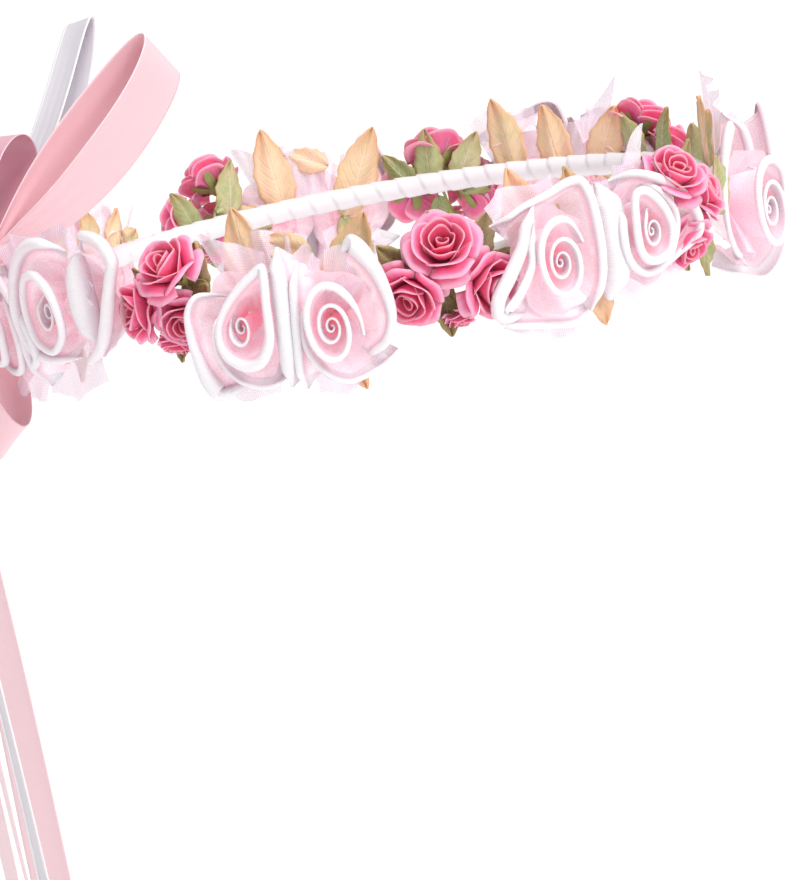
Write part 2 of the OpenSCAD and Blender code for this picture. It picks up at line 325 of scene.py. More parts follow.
# Rose designs in millimetres: centre c of the rolled part as (along, up), its roll as (turns,
# growth, tallness, first and last height, first and last lip radius), a closed collar, and
# open strips. Each row of a collar or strip is (along, up, out, lip radius).
ROSES = {
    "oval": dict(
        c=(-0.6, -7.2), roll=(3.3, (0.85, 0.50), 1.5, 17.6, 21.0, (0.30, 1.35)), collar=None,
        strips=[
            [(5, 8, 12, 0.6), (5.4, 13, 15.5, 1.3), (8.6, 16.4, 18, 2.3), (12.4, 13.4, 18.6, 2.6),
             (15.6, 5.9, 18.2, 1.9), (17.2, -2.6, 18, 1.5), (16.6, -9.4, 17.5, 1.3),
             (13.6, -14.9, 16.5, 1.3), (9, -17.5, 14.5, 1.1), (4, -19, 11, 0.6)],
            [(-6, 3, 12, 0.5), (-9, -2, 16.5, 0.7), (-9.5, -12, 17, 0.7),
             (-5.5, -20, 16.5, 0.8), (1, -24, 15.5, 0.8), (9, -22, 14.5, 0.7), (15, -18, 12, 0.5)]]),
    "drop": dict(
        c=(1.4, -4.0), roll=(1.9, (0.95, 0.42), 1.6, 17.0, 19.4, (0.30, 0.6)),
        collar=[(-4.8, -1.5, 20.5, 1.0), (-5.9, -7.6, 20.5, 1.2), (-3.9, -12.6, 20.6, 1.5),
                (1.2, -15.9, 20.8, 1.8), (6.9, -14.6, 21, 1.7), (10.6, -8.6, 21, 1.4),
                (11.6, 0.7, 21, 1.2),
                (12.0, 12.6, 20.5, 1.3), (6.3, 10.7, 20.5, 1.3), (-0.5, 5.0, 20.5, 1.2)],
        strips=[
            [(-3, 3, 11, 0.5), (-7, 6.2, 15, 0.6), (-11.0, 6.4, 17.5, 0.8),
             (-14.2, 2.3, 18, 1.0), (-15.1, -4, 18, 1.3), (-14.9, -12.5, 17.5, 1.8),
             (-14.1, -19.1, 17, 2.5), (-11.3, -24.0, 16, 2.4), (-6.5, -23.4, 14, 1.5),
             (0, -20, 11, 0.6)],
            [(-4, 2, 12, 0.4), (-7.5, -3, 16, 0.5), (-8.2, -11, 16.5, 0.5),
             (-4, -18.5, 16.5, 0.6), (2, -22, 15.5, 0.7), (8, -21.5, 14.5, 0.6),
             (11, -17, 12, 0.5)]]),
    "figure": dict(
        c=(-1.8, -3.0), roll=(3.2, (0.90, 0.54), 1.4, 16.8, 21.0, (0.30, 1.3)), collar=None,
        strips=[
            [(-4, 14, 16, 1.1), (-10.7, 9.8, 17.8, 1.6), (-13.6, 4, 18, 1.8),
             (-18.1, -1.8, 18, 2.0), (-22.8, -8.0, 17.5, 2.0), (-23.4, -13.5, 17, 1.9),
             (-19.5, -16, 16.5, 1.6), (-12, -15.8, 15, 1.0)],
            [(-6, 9.5, 17.5, 0.9), (-10.2, 4.2, 18.2, 1.1), (-11.5, -1.5, 18.4, 1.2),
             (-16.2, -8, 18, 1.3), (-20.6, -12.4, 17.5, 1.2), (-17, -16.8, 15.5, 0.9)],
            [(-23, -11, 13, 0.9), (-21, -15.8, 14, 1.0), (-17, -18.4, 14, 1.0),
             (-6.8, -20.9, 14.5, 1.1), (2.2, -22.2, 14.5, 1.1), (8.5, -18.5, 13.5, 0.9)],
            [(-17.5, 10, 13, 0.9), (-9, 14, 14, 1.0), (-1.4, 16, 14.8, 1.1),
             (6, 18.4, 15.6, 1.3), (10.2, 17.4, 17, 1.4), (11.9, 12, 18.2, 1.4),
             (12.4, 4, 18.6, 1.4), (12.2, -4, 18.6, 1.4), (10.9, -11.5, 18, 1.3),
             (7.4, -19.5, 16, 1.1)]]),
    "box": dict(
        c=(2.1, -1.6), roll=(2.1, (0.95, 0.40), 1.4, 17.4, 19.6, (0.30, 0.65)),
        collar=[(-3.5, 10.2, 20.3, 1.2), (1.5, 10.8, 20.5, 1.3), (6.8, 5.4, 20.6, 1.3),
                (9.2, -1.9, 20.6, 1.3), (7.2, -8.8, 20.5, 1.3), (2, -11, 20.5, 1.2),
                (-2.9, -9.8, 20.5, 1.2), (-5.4, -5.2, 20.4, 1.2), (-5.2, 3, 20.3, 1.2)],
        strips=[
            [(-5, 14, 14.5, 1.0), (1.1, 15.6, 16, 1.1), (10.3, 12.1, 17, 1.4),
             (19.5, 4.9, 16.5, 1.5), (23.4, -3.3, 16, 1.5), (21.6, -8.8, 15.5, 1.4),
             (14, -12, 14.5, 1.1), (6, -16, 12.5, 0.9)],
            [(-6, 9, 17.5, 1.1), (-9, 0, 18.5, 1.4), (-7.8, -8.4, 18, 1.3),
             (-1, -14.2, 17, 1.2), (7.5, -13, 16.5, 1.2), (12.6, -6, 17, 1.2),
             (13.4, 1.5, 17.5, 1.2), (9, 8.6, 17, 1.1), (3, 12.4, 16, 1.0)]]),
    "ring": dict(
        c=(1.0, 3.5), roll=(2.0, (1.0, 0.42), 1.5, 15.0, 17.3, (0.30, 0.65)),
        collar=[(8.6, -3, 18.6, 1.2), (9.4, 5, 19, 1.3), (6.9, 12.2, 19.4, 1.4),
                (1.5, 16.6, 19.5, 1.4), (-4, 15.2, 19.4, 1.3), (-7.2, 9, 19, 1.2),
                (-7.6, 1, 18.6, 1.2), (-5, -5.6, 18.3, 1.1), (2, -8.2, 18.2, 1.1)],
        strips=[
            [(11, 21, 16, 1.2), (5.7, 25.4, 17.8, 1.6), (-2.5, 24.6, 18.5, 1.9),
             (-8.7, 18.8, 19, 1.9), (-13.2, 8.3, 19, 1.9), (-13.2, -1.1, 18.5, 1.8),
             (-8.9, -8.6, 18, 1.6), (-1.3, -11.4, 17, 1.3), (7, -10.5, 15, 1.0)],
            [(13, 24, 12, 1.0), (20, 26.5, 13.8, 1.5), (28.6, 24.4, 14.5, 1.8),
             (33, 18, 14.8, 1.8), (30.4, 11.5, 15, 1.8), (28, 5, 15.5, 2.0),
             (25.2, -1, 15.5, 2.0), (20.3, -7.6, 15, 1.8), (13, -11.8, 14, 1.4),
             (6, -13, 12, 0.9)],
            [(13.5, 23, 12, 2.0), (17.2, 14, 16, 3.6), (18.2, 3, 16.6, 4.0),
             (15.6, -8.5, 13.5, 2.4)]]),
}

# Folds between the two roses of a pair, in the pair's own place: the point that each faces,
# then its rows
FOLDS = {
    "two": [((20, -4), [(0.4, 15.5, 15, 1.6), (0.6, 11, 18, 2.4), (0.4, 4, 18.6, 2.6),
                        (-0.3, -5, 18.6, 2.6), (-1.1, -14, 18, 2.4), (-2.6, -23, 15.5, 1.6)]),
            ((22, -5), [(5.4, 11, 15, 0.9), (4.4, 5.5, 17.8, 1.2), (3.6, -1, 18.2, 1.3),
                        (2.6, -9, 18.2, 1.3), (1.4, -18, 17, 1.2), (1.2, -24.5, 14, 0.9)])],
    "wide": [((22, -4), [(4.6, 14, 13.5, 2.4), (5.2, 9, 16, 4.2), (5.0, 0, 17.2, 5.0),
                         (4.5, -9, 16.8, 4.8), (2.4, -18.6, 14, 3.2)])],
    "slim": [((20, 0), [(-1, 17, 13, 1.0), (-0.5, 10, 16.5, 1.6), (0, 0, 17.4, 1.8),
                        (-0.5, -10, 16.8, 1.7), (-1.5, -20, 13.5, 1.2)])],
}

# Each pair: design of the left rose, of the right rose, folds, mirror, turn of each rose
# about the vertical in degrees, how much each is lifted in millimetres, and which way each
# spiral winds
PAIRS = {
    1: ("box", "ring", "slim", 1, (0, 0), (-2, 0), (-1, 1)),
    2: ("drop", "oval", "two", 1, (0, 0), (0, 0), (1, 1)),
    3: ("figure", "box", "wide", 1, (0, 0), (0, 0), (1, 1)),
    4: ("oval", "drop", "slim", 1, (-30, -6), (-2, 2), (-1, -1)),
    5: ("figure", "box", "wide", -1, (0, 0), (0, 1), (1, 1)),
    6: ("drop", "oval", "two", -1, (0, 0), (1, 0), (1, 1)),
    7: ("ring", "figure", "slim", -1, (0, 0), (-4, 0), (1, 1)),
}


def rose_parts(kind, mirror, hand, thin=1.0):
    """All the strips of one rose in its own place: rolled centre, collar and outer loops."""
    d = ROSES[kind]
    turns, grow, tall, h0, h1, lip = d["roll"]
    c = np.array(d["c"], float) * [mirror, 1]
    rows = spiral(c, turns, grow, tall, h0, h1, lip, hand=-hand * mirror, start=0.75)
    out = [rolled(rows, int(44 * turns), c, squeeze=0.3, ruffle=0.1, seat=0.0, tuck=0)]
    if d["collar"]:
        out.append(rolled(flip_rows(d["collar"], mirror), 84, c, squeeze=0.5, closed=True))
    for k, strip in enumerate(d["strips"]):
        edge = flip_rows(strip, mirror) * [1, 1, 1, thin]
        out.append(rolled(edge, 96, c, squeeze=0.5 - 0.05 * k))
    out.append(rose_bed(c, kind))
    if kind == "ring":
        out.append(rose_bed((18.5 * mirror, 6.0), kind))
    return out


def rose_bed(c, kind):
    """The gathered foot of a rose: a dish out = 4.6 + 8 v^2.2 with pleats sin(11 a) v over an
    oval of radii 12 v and 15 v, which closes the flower from behind."""
    a, v = np.meshgrid(np.linspace(0, 2 * math.pi, 96, endpoint=False), np.linspace(0, 1, 14),
                       indexing="ij")
    phase = len(kind)
    r = v * (1 + 0.06 * np.sin(5 * a + phase))
    h = 4.6 + 8 * v**2.2 + 0.7 * v * np.sin(11 * a + phase)
    p = np.stack([c[0] + 12 * r * np.cos(a), c[1] + 15 * r * np.sin(a), h], -1)
    aa = np.linspace(0, 2 * math.pi, 97)[:, None]
    uv = np.stack(np.broadcast_arrays(aa * 13, 6 + 14 * np.linspace(0, 1, 14)[None, :]), -1)
    # Painted shade: the foot is painted deeper pink at its middle, behind the flower.
    return part(p, uv, 0.55 * np.exp(-((v / 0.45) ** 2)) + 0.1, wrap_u=True)


def turned(p, degrees, lift, size=1.0):
    """Scales local points, turns them about the upright line through (0, 12) and lifts them."""
    a = math.radians(degrees)
    p = p * np.array([size, size, 1 + 0.6 * (size - 1)])
    t, h = p[..., 0], p[..., 2] - 12
    return np.stack([t * math.cos(a) + h * math.sin(a), p[..., 1] + lift,
                     h * math.cos(a) - t * math.sin(a) + 12], -1)


# Organza petals of each pair: root left, root right, tip right, tip left as (along, up),
# then how far the tip stands out, how much its edge is pointed, and where (0 left, 1 right)
PETALS = {
    "two": [((-14, 0), (-4, 3), (-3.5, 14.5), (-22, 21), 10, 1.5, 0.15),
            ((0, 0), (7, 0), (12, 9.5), (1.5, 11.5), 11, 4.5, 0.5),
            ((8, -3), (14, -6), (23, 3), (13, 12.5), 12, 4, 0.35),
            ((-3, -10), (-14, -6), (-24, -15.5), (-7, -25), 11, 6, 0.5),
            ((14, -6), (2, -10), (4, -26), (25, -18.5), 11, 4, 0.65),
            ((-6, 0), (3, 2), (3, 17), (-10, 19), 6, 2, 0.4)],
    "wide": [((-22, 0), (-6, 4), (-7, 19), (-31, 15), 9, 3, 0.3),
             ((-2, 2), (12, 2), (20, 13), (3, 13), 8, 15, 0.86),
             ((10, 2), (20, 0), (30, 12), (12, 17), 10, 2, 0.6),
             ((-2, -10), (-16, -8), (-32, -18), (-6, -26), 11, 3, 0.5),
             ((20, -6), (4, -10), (8, -22), (31, -19), 12, 3, 0.6)],
    "slim": [((-14, 2), (0, 5), (2, 23), (-20, 20), 9, 3, 0.5),
             ((2, 5), (18, 5), (28, 23), (4, 25), 9, 4, 0.6),
             ((-2, -8), (-16, -6), (-26, -20), (-6, -25), 11, 3, 0.5),
             ((22, -4), (0, -8), (-2, -22), (34, -16), 11, 4, 0.6),
             ((14, 0), (20, -2), (34, 6), (24, 14), 10, 3, 0.5)],
}


def petal(row, seed, mirror):
    """A gathered organza petal: corners blended root to tip, the outer edge pushed out to a
    point, with pleats a sin(2 pi k u + f) v that grow from the root to the tip."""
    rl, rr, tr, tl, stand, point, where = row
    u, v = np.meshgrid(np.linspace(0, 1, 25), np.linspace(0, 1, 15), indexing="ij")
    lerp = lambda a, b, k: np.array(a)[None, None] * (1 - k)[..., None] \
        + np.array(b)[None, None] * k[..., None]
    root, tip = lerp(rl, rr, u), lerp(tl, tr, u)
    away = unit((np.array(tl) + np.array(tr) - np.array(rl) - np.array(rr))[None, None] / 2.0)
    peak = np.exp(-((u - where) / 0.28) ** 2) * np.minimum(1, 6 * np.minimum(u, 1 - u) + 0.3)
    lat = root * (1 - v)[..., None] + tip * v[..., None] \
        + away * (point * peak * v**1.5)[..., None]
    h = 4.9 + (stand - 4.9) * v**1.3 + 1.5 * v * np.sin(2 * math.pi * (1.6 * u + 0.37 * seed)) \
        + 0.4 * v * np.sin(2 * math.pi * (4.1 * u + 0.21 * seed)) - 1.2 * v**4
    lat[..., 0] *= mirror
    w = np.linalg.norm(tip[-1, 0] - tip[0, 0])
    ln = np.linalg.norm(away * point) + np.linalg.norm(tip[12, 0] - root[12, 0])
    uv = np.stack([u * w, v * ln], -1)
    return part(np.concatenate([lat, h[..., None]], -1), uv, 0.25 + 0.5 * (1 - v))


# ---- leaves ----------------------------------------------------------------------------
def leaf(root, angle, length, width, bend, cup, shade):
    """A veined leaf: half width w sin(pi u^0.8) with a saw-toothed edge, folded up along
    its middle by cup |v| and bent out by bend u^2. The angle is from upright, to +along."""
    u, v = np.meshgrid(np.linspace(0, 1, 33), np.linspace(-1, 1, 13), indexing="ij")
    lobes = 1 - np.abs(((u * 4.5 + shade) % 1) * 2 - 1)
    saw = 1 + (0.16 * lobes + 0.05 * (1 - np.abs(((u * 13) % 1) * 2 - 1))) * np.abs(v) ** 3
    half = 0.46 * width * np.sin(math.pi * np.clip(u, 0, 1) ** 0.75) ** 0.8 * saw + 0.15
    a = math.radians(angle)
    ln = length * (u + 0.03 * np.sin(math.pi * u) * v * v)
    side = half * v
    t = root[0] + math.sin(a) * ln + math.cos(a) * side
    z = root[1] + math.cos(a) * ln - math.sin(a) * side
    h = root[2] + bend * u**2 + cup * np.abs(side) + 0.5 * np.sin(9 * u + 6 * shade) * v * v \
        + 0.5 * np.sin(4 * u + 5 * v + 9 * shade)
    uv = np.stack([u, v], -1)
    return part(np.stack([t, z, h], -1), uv, shade)


# Leaves of a pair: (along, up, out), angle, length, width, bend, cup, shade; and how much
# smaller the leaves of some pairs are
LEAF_SHARE = {1: 0.6, FRONT: 0.78, 7: 0.6}
LEAVES = {
    "two": [((-9, -3, 1.2), -5, 30, 12, 1.0, 0.10, 0.2), ((8, 11, 2.0), -66, 15, 8, 0.5, 0.2, 0.1),
            ((10, -7, 1.4), 28, 31, 13, 1.0, 0.12, 0.35), ((9, -6, 1.5), 161, 23, 9, 2.0, 0.2, 0.8),
            ((-14, -5, 1.8), -62, 17, 9, 2.0, 0.2, 0.65)],
    "wide": [((-14, -3, 1.2), -12, 27, 12, 1.0, 0.1, 0.6), ((2, -5, 1.2), -8, 25, 12, 1, 0.15, 0.4),
             ((14, -5, 1.2), 24, 24, 12, 1.5, 0.15, 0.25), ((2, -6, 1.5), 178, 20, 9, 2, 0.2, 0.8),
             ((16, -4, 1.6), 78, 17, 9, 2.5, 0.2, 0.7)],
    "slim": [((-10, -2, 1.2), -10, 29, 12, 1.0, 0.1, 0.3), ((3, -2, 1.0), 5, 31, 12, 1, 0.15, 0.55),
             ((13, -2, 1.2), 22, 28, 12, 1.5, 0.15, 0.2), ((8, -6, 1.5), 170, 22, 9, 2, 0.2, 0.75),
             ((17, 0, 1.6), 66, 20, 10, 2.5, 0.2, 0.45)],
}

# Leaves of a spray, in the same terms
SPRIGS = {
    1: [((4, -3, 0.8), -24, 18, 8, 2, 0.2, 0.7), ((14, 1, 0.6), 16, 19, 9, 2, 0.2, 0.35),
        ((10, 4, 1.0), 74, 12, 7, 3, 0.2, 0.6), ((6, -4, 1.0), 168, 10, 6, 3, 0.2, 0.9)],
    2: [((-2, -3, 0.8), 2, 20, 9, 2, 0.2, 0.6), ((6, -3, 0.6), 30, 19, 9, 2.5, 0.2, 0.3),
        ((-6, -3, 0.7), -38, 17, 8, 2, 0.2, 0.85), ((8, -5, 1), 62, 15, 7, 3, 0.2, 0.75),
        ((0, -5, 1.0), 184, 13, 7, 3, 0.2, 0.9)],
    3: [((-8, -3, 0.8), -28, 20, 9, 2, 0.2, 0.5), ((0, -3, 0.6), 16, 20, 8, 2, 0.2, 0.8),
        ((10.4, -7, 6.5), -2, 17, 11, 2, 0.2, 0.35), ((3.5, -9, 4), 200, 14, 9, 2, 0.2, 0.75),
        ((-6, -4, 1.0), 190, 15, 7, 3, 0.2, 0.9)],
}


def leaf_grids(rows, mirror, rise, share=1.0, shift=0.0):
    """Leaves from their rows, mirrored, raised outward by rise and scaled by share."""
    return [leaf((root[0] * mirror, root[1], root[2] + rise), angle * mirror, length * share,
                 width * share**0.5, bend, cup, (shade + shift) % 1)
            for root, angle, length, width, bend, cup, shade in rows]


# Buds of a spray: along, up, out, lean along, lean up, size
BUDS = {
    1: [(14.0, 13.0, 12, -10, 46, 1.05), (1.8, 2.5, 10.5, -34, 4, 1.0),
        (13.4, -0.6, 9, 20, -30, 0.92), (7.5, -8.5, 7.5, -6, -62, 0.6)],
    2: [(0.4, 6.0, 10.5, -4, 42, 1.15), (-9.8, -3.0, 9.5, -32, -26, 1.05),
        (10.2, -5.0, 9, 34, -16, 1.05), (2.5, -14.0, 7, 6, -66, 0.5)],
    3: [(-15.5, 9.0, 11, -10, 44, 1.05), (-2.7, 1.8, 10.5, 20, 20, 1.0),
        (-12.0, -9.0, 9.5, -12, -40, 0.95), (1.5, -13.5, 6.5, 6, -60, 0.5)],
}


def bud_axes(lean, up):
    """Side, upright and forward directions of a bud, in local (along, up, out)."""
    a, b = math.radians(lean), math.radians(up)
    f = np.array([math.sin(a) * math.cos(b), math.sin(b), math.cos(a) * math.cos(b)])
    s = unit(np.cross([0, 1, 0], f))
    return s, np.cross(f, s), f


def bud_parts(row, mirror, seed):
    """A paper rose of rings of petals. Petal (u, v): radius R (0.22 + 0.78 sin(pi v / 2))
    plus an outward curl c v^5 at its edge, height H v less a rounding of its corners."""
    t0, z0, h0, lean, up, size = row
    s, w, f = bud_axes(lean * mirror, up)
    root = np.array([t0 * mirror, z0, h0]) - f * 3.0
    out = []
    # The last column of each ring is painted shade: inner rings are painted a deeper red.
    rings = [(1, 1.5, 8.6, 0.0, 175, 1.0), (2, 2.9, 9.4, 0.1, 104, 0.85),
             (3, 4.4, 9.6, 0.5, 78, 0.5), (3, 5.6, 9.0, 1.7, 66, 0.2),
             (4, 5.9, 7.4, 3.6, 44, 0.0), (3, 5.2, 4.6, 5.0, 40, 0.0)]
    u, v = np.meshgrid(np.linspace(-1, 1, 15), np.linspace(0, 1, 11), indexing="ij")
    for k, (count, rad, high, curl, half, shade) in enumerate(rings):
        for m in range(count):
            a = 2 * math.pi * m / count + k * 0.9 + seed * 1.7 + np.radians(half) * u
            lift = 1 - 0.30 * np.abs(u) ** 2.6 + 0.04 * np.sin(4 * u + seed + m)
            r = rad * (0.22 + 0.78 * np.sin(math.pi / 2 * v)) + curl * v**5 * (1 - 0.4 * u * u) \
                + 0.25 * u * (m % 2 * 2 - 1) * 0.6 + 0.05 * k
            r = r + 0.18 * np.sin(7 * u + 2 * m + seed) * v**4
            z = high * (v * lift) - 0.45 * curl * v**5
            p = root + size * ((r * np.cos(a))[..., None] * s + (r * np.sin(a))[..., None] * w
                               + z[..., None] * f)
            out.append(part(p, np.stack([u, v], -1), shade))
    return out


def calyx_parts(row, mirror, seed, foot):
    """Stem wire, green cup and five pointed sepals whose half angle falls as (1 - v)^0.7."""
    t0, z0, h0, lean, up, size = row
    s, w, f = bud_axes(lean * mirror, up)
    root = np.array([t0 * mirror, z0, h0]) - f * 3.0
    ends = root - f * 3.4 * size
    mid = (ends + foot) / 2 + np.array([0, 0.6, 0.6])
    out = [tube(smooth_path(np.stack([foot, mid, ends, root]), 14), 0.5, 8, 0.4)]
    v = np.linspace(0, 1, 9)
    r = size * (0.5 + 2.2 * v**0.7)
    out.append(tube(root + np.outer(v - 0.8, f) * 4.2 * size, r, 14, 0.3))
    u, v = np.meshgrid(np.linspace(-1, 1, 5), np.linspace(0, 1, 9), indexing="ij")
    for m in range(5):
        a = 2 * math.pi * m / 5 + seed + u * 0.5 * (1 - v) ** 0.7
        r = size * (1.4 + 4.6 * np.sin(math.pi / 2 * v) ** 0.9 + 1.0 * v**3)
        z = size * (-0.9 + 4.6 * v)
        p = root + (r * np.cos(a))[..., None] * s + (r * np.sin(a))[..., None] * w + z[..., None] * f
        out.append(part(p, np.stack([u, v], -1), 0.6))
    return out


# ---- bow and tails ---------------------------------------------------------------------
def bow_frame(tip, roll):
    """Directions of a loop: along to its tip, across its width, and the way it opens."""
    v = np.array(tip, float) - KNOT
    rot = Matrix.Rotation(math.atan2(v[1], v[0]), 3, "Z") @ \
        Matrix.Rotation(-math.asin(v[2] / np.linalg.norm(v)), 3, "Y") @ \
        Matrix.Rotation(math.radians(roll), 3, "X")
    return np.array(rot).T, float(np.linalg.norm(v))


def bow_loop(tip, fat, wide, roll, seed, swell=0.0, arch=0.0):
    """A loop of ribbon: x = L (1 - cos 2 pi t)/2, z = fat sin 2 pi t (0.45 + 0.55 sin pi t),
    its width pinched to a fifth at both ends with pleats that die away along the loop. The
    whole loop bows upward by arch 4 k (1 - k), where k is its share of the reach."""
    (ex, ey, ez), reach = bow_frame(tip, roll)
    rise = bow_frame(tip, 0)[0][2] * arch
    neck = 13.0
    t, w = np.meshgrid(np.linspace(0, 1, 97), np.linspace(-0.5, 0.5, 25), indexing="ij")
    end = np.minimum(t, 1 - t)
    x = neck + (reach - neck) * (1 - np.cos(2 * math.pi * t)) / 2
    open_ = ease(end / 0.22)
    z = fat * np.sin(2 * math.pi * t) * (0.45 + 0.55 * np.sin(math.pi * t)) * (0.25 + 0.75 * open_)
    width = wide * (0.2 + 0.8 * ease(end / 0.3) ** 0.8)
    pleat = np.exp(-end / 0.10) * 1.3 * np.cos(w * 2 * math.pi * 3.5 + seed)
    soft = 0.5 * np.sin(2 * math.pi * (1.3 * t + 0.15 * seed)) * np.sin(3 * w + seed)
    sag = swell * (4 * w * w - 0.4) * np.sin(2 * math.pi * t)
    side = np.sign(0.5 - t) * (1 - 0.7 * np.exp(-((t - 0.5) / 0.06) ** 2))
    z = z + (pleat + soft) * side + sag
    k = x / reach
    p = KNOT + x[..., None] * ex + (w * width)[..., None] * ey + z[..., None] * ez \
        + (4 * k * (1 - k))[..., None] * rise
    ln = running(p[:, 12])
    uv = np.stack([np.broadcast_to(ln[:, None], t.shape), (w + 0.5) * wide], -1)
    # Painted shade: the loop deepens towards its ends at the knot.
    return part(p, uv, 0.2 + 0.3 * np.exp(-end / 0.08)), ln[-1]


def knot_parts():
    """The knot: a squat ball of radius 11.4, squeezed to 0.92 and 0.98 across, with pleats
    0.45 cos 9a running over it."""
    u, v = np.meshgrid(np.linspace(0, math.pi, 41), np.linspace(0, 2 * math.pi, 72, endpoint=False),
                       indexing="ij")
    r = 11.4 + 0.45 * np.cos(9 * v + 0.8 * np.sin(2 * u)) * np.sin(u) + 0.4 * np.sin(3 * u + v)
    x, y, z = r * np.cos(u), 0.92 * r * np.sin(u) * np.cos(v), 0.98 * r * np.sin(u) * np.sin(v)
    p = KNOT + np.stack([x, y, z], -1)
    vv = np.linspace(0, 2 * math.pi, 73)
    uv = np.stack(np.broadcast_arrays((vv * 11)[None, :], np.linspace(0, 22, 41)[:, None]), -1)
    # Painted shade: the whole knot is painted a little deeper than the loops.
    return [part(p, uv, 0.35, wrap_v=True)]


# Each tail: place across, place behind the ring's centre, width, twist in degrees, phase of
# its wave, and how far it drifts back below the gather
TAILS = [(-44, 135.5, 12.1, -26, 0, -5.3), (-22, 135.3, 20.5, -43, 1, -3.8),
         (0, 143.5, 20.5, -12, 2, 0.0), (22, 149, 20.5, -24, 3, 4.2), (44, 140, 16.5, 14, 4, 6.5)]


def tail_part(row):
    """A hanging ribbon: gathered to 3 mm at its top, it spreads over 48 mm by ease(s), then
    hangs straight. Its width turns by the twist, and its end is cut to a notch."""
    x1, y0, wide, twist, seed, drift = row
    s, w = np.meshgrid(np.linspace(0, 1, 131), np.linspace(-1, 1, 21), indexing="ij")
    s = s**1.15
    drop = TAIL_LENGTH * s
    spread = ease(drop / 48)
    cx = x1 * (0.22 + 0.78 * ease(drop / 58))
    half = 1.6 + (wide / 2 - 1.6) * spread
    turn = np.radians(twist) * ease(drop / 60) + 0.06 * np.sin(drop / 47 + seed)
    gather = 1.5 * np.exp(-drop / 16) * np.cos(w * 9 + seed)
    wave = 0.5 * np.sin(drop / 31 + seed * 1.9) * ease(drop / 50) + 0.25 * w * w
    x = cx + half * w * np.cos(turn) + (gather + wave) * np.sin(turn)
    y = y0 + drift * ease(drop / 58) - half * w * np.sin(turn) + (gather + wave) * np.cos(turn)
    z = HINGE_Z - drop + 9 * (1 - np.abs(w)) * ease((drop - 355) / 34)
    uv = np.stack([drop, (w + 1) / 2 * wide], -1)
    # Painted shade: the tail deepens towards its top under the bow.
    return part(np.stack([x, y, z], -1), uv, 0.12 + 0.25 * np.exp(-drop / 30))


# ---- materials -------------------------------------------------------------------------
class Paint:
    """Small helper that adds nodes to one material and links them."""

    def __init__(self, name, **settings):
        self.mat = bpy.data.materials.new(name)
        self.mat.use_nodes = True
        self.nt = self.mat.node_tree
        self.bsdf = self.nt.nodes["Principled BSDF"]
        for key, value in settings.items():
            self.bsdf.inputs[key.replace("_", " ")].default_value = value

    def node(self, kind, **props):
        n = self.nt.nodes.new(kind)
        for key, value in props.items():
            setattr(n, key, value)
        return n

    def link(self, a, b):
        self.nt.links.new(a, b)

    def put(self, socket, value):
        if isinstance(value, bpy.types.NodeSocket):
            self.link(value, socket)
        else:
            socket.default_value = value

    def math(self, op, a, b=0.0, clamp=False):
        n = self.node("ShaderNodeMath", operation=op, use_clamp=clamp)
        self.put(n.inputs[0], a)
        self.put(n.inputs[1], b)
        return n.outputs[0]

    def mix(self, f, a, b):
        n = self.node("ShaderNodeMix", data_type="RGBA")
        self.put(n.inputs[0], f)
        self.put(n.inputs[6], (*a, 1) if isinstance(a, (tuple, list)) else a)
        self.put(n.inputs[7], (*b, 1) if isinstance(b, (tuple, list)) else b)
        return n.outputs[2]

    def blend(self, f, a, b):
        n = self.node("ShaderNodeMix", data_type="FLOAT")
        for k, value in ((0, f), (2, a), (3, b)):
            self.put(n.inputs[k], value)
        return n.outputs[0]

    def step(self, x, lo, hi):
        n = self.node("ShaderNodeMapRange", interpolation_type="SMOOTHSTEP")
        self.put(n.inputs["Value"], x)
        n.inputs["From Min"].default_value, n.inputs["From Max"].default_value = lo, hi
        return n.outputs[0]

    def uv(self):
        n = self.node("ShaderNodeUVMap", uv_map="UVMap")
        x = self.node("ShaderNodeSeparateXYZ")
        self.link(n.outputs[0], x.inputs[0])
        return x.outputs[0], x.outputs[1]

    def place(self):
        return self.node("ShaderNodeTexCoord").outputs["Object"]

    def noise(self, scale, detail=3.0):
        n = self.node("ShaderNodeTexNoise")
        n.inputs["Scale"].default_value, n.inputs["Detail"].default_value = scale, detail
        self.link(self.place(), n.inputs["Vector"])
        return n.outputs["Fac"]

    def attribute(self, name):
        return self.node("ShaderNodeAttribute", attribute_name=name).outputs["Fac"]

    def wave(self, x, per_unit):
        """0 to 1 wave of a coordinate: (1 + sin(2 pi f x)) / 2."""
        s = self.math("SINE", self.math("MULTIPLY", x, 2 * math.pi * per_unit))
        return self.math("ADD", self.math("MULTIPLY", s, 0.5), 0.5)

    def bump(self, height, distance, strength=1.0):
        n = self.node("ShaderNodeBump")
        n.inputs["Strength"].default_value = strength
        n.inputs["Distance"].default_value = distance
        self.link(height, n.inputs["Height"])
        self.link(n.outputs[0], self.bsdf.inputs["Normal"])

    def colour(self, c):
        self.put(self.bsdf.inputs["Base Color"], c)

    def alpha(self, a):
        self.put(self.bsdf.inputs["Alpha"], a)


# Ribbons: base colour or the setting that holds it, deep colour (painted shade near the knot,
# and the stitches), edge colour, share that is see-through, width in millimetres, and how strong its
# row of stitches is
RIBBONS = {
    "bow_pink": ("bow_pink", (0.86, 0.42, 0.50), (0.97, 0.85, 0.87), 0.0, 22.0, 0.0),
    # A darker copy of the bow pink for the third ribbon: painted shade.
    "bow_rose": ((0.80, 0.45, 0.53), (0.68, 0.30, 0.40), (0.88, 0.66, 0.72), 0.0, 22.0, 0.0),
    "tail_pink": ("bow_pink", (0.88, 0.50, 0.58), (0.95, 0.80, 0.83), 0.0, 20.5, 0.0),
    "white_bow": ("white_ribbon", (0.74, 0.66, 0.74), (0.97, 0.95, 0.97), 0.12, 12.0, 0.5),
    "white_tail": ("white_ribbon", (0.80, 0.72, 0.80), (0.97, 0.95, 0.97), 0.25, 12.1, 1.0),
}

